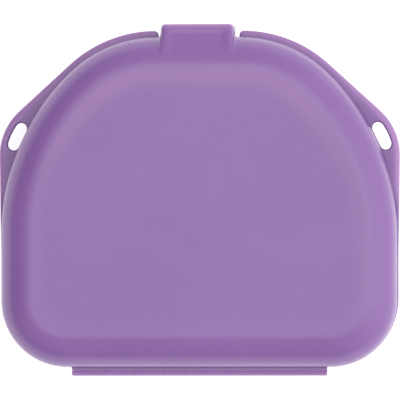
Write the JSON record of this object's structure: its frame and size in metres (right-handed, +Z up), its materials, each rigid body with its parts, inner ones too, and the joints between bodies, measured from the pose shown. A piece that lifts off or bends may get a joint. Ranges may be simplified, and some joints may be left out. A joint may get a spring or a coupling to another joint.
{
  "type": "retainer case",
  "caption": "Shallow D-shaped plastic case for a dental retainer, with a domed lid on a double living hinge, a snap latch with thumb tongue and two slotted lanyard ears.",
  "frame": {"origin": "on the surface the closed case lies on, under the middle of its bounding box", "axes": "+X across the case (its longest extent), +Y from the hinge at the back to the latch at the front, +Z up through the lid (its shortest extent)"},
  "size_m": [0.0822, 0.0718, 0.025],
  "materials": {
    "case_plastic": "fine satin texture, moulded polypropylene",
    "hinge_plastic": "smooth satin, slightly lightened by bending"
  },
  "bodies": {
    "base": {"base_tray": "case_plastic", "base_web": "hinge_plastic"},
    "strap": {"hinge_strap": "case_plastic"},
    "lid": {"lid_shell": "case_plastic", "lid_web": "hinge_plastic"},
    "latch": {"latch_flap": "case_plastic"}
  },
  "joints": [
    {"name": "strap_hinge", "type": "hinge", "parent": "base", "child": "strap", "pos_m": [0, -0.03558, 0.00994], "axis": [1, 0, 0], "range_deg": [0, 90], "deforming": ["base_web"]},
    {"name": "lid_hinge", "type": "hinge", "parent": "strap", "child": "lid", "pos_m": [0, -0.03558, 0.01526], "axis": [1, 0, 0], "range_deg": [0, 90], "deforming": ["lid_web"]},
    {"name": "latch_flex", "type": "hinge", "parent": "lid", "child": "latch", "pos_m": [0, 0.03593, 0.018], "axis": [1, 0, 0], "range_deg": [0, 8], "stiffness_Nm_per_rad": 0.15}
  ]
}
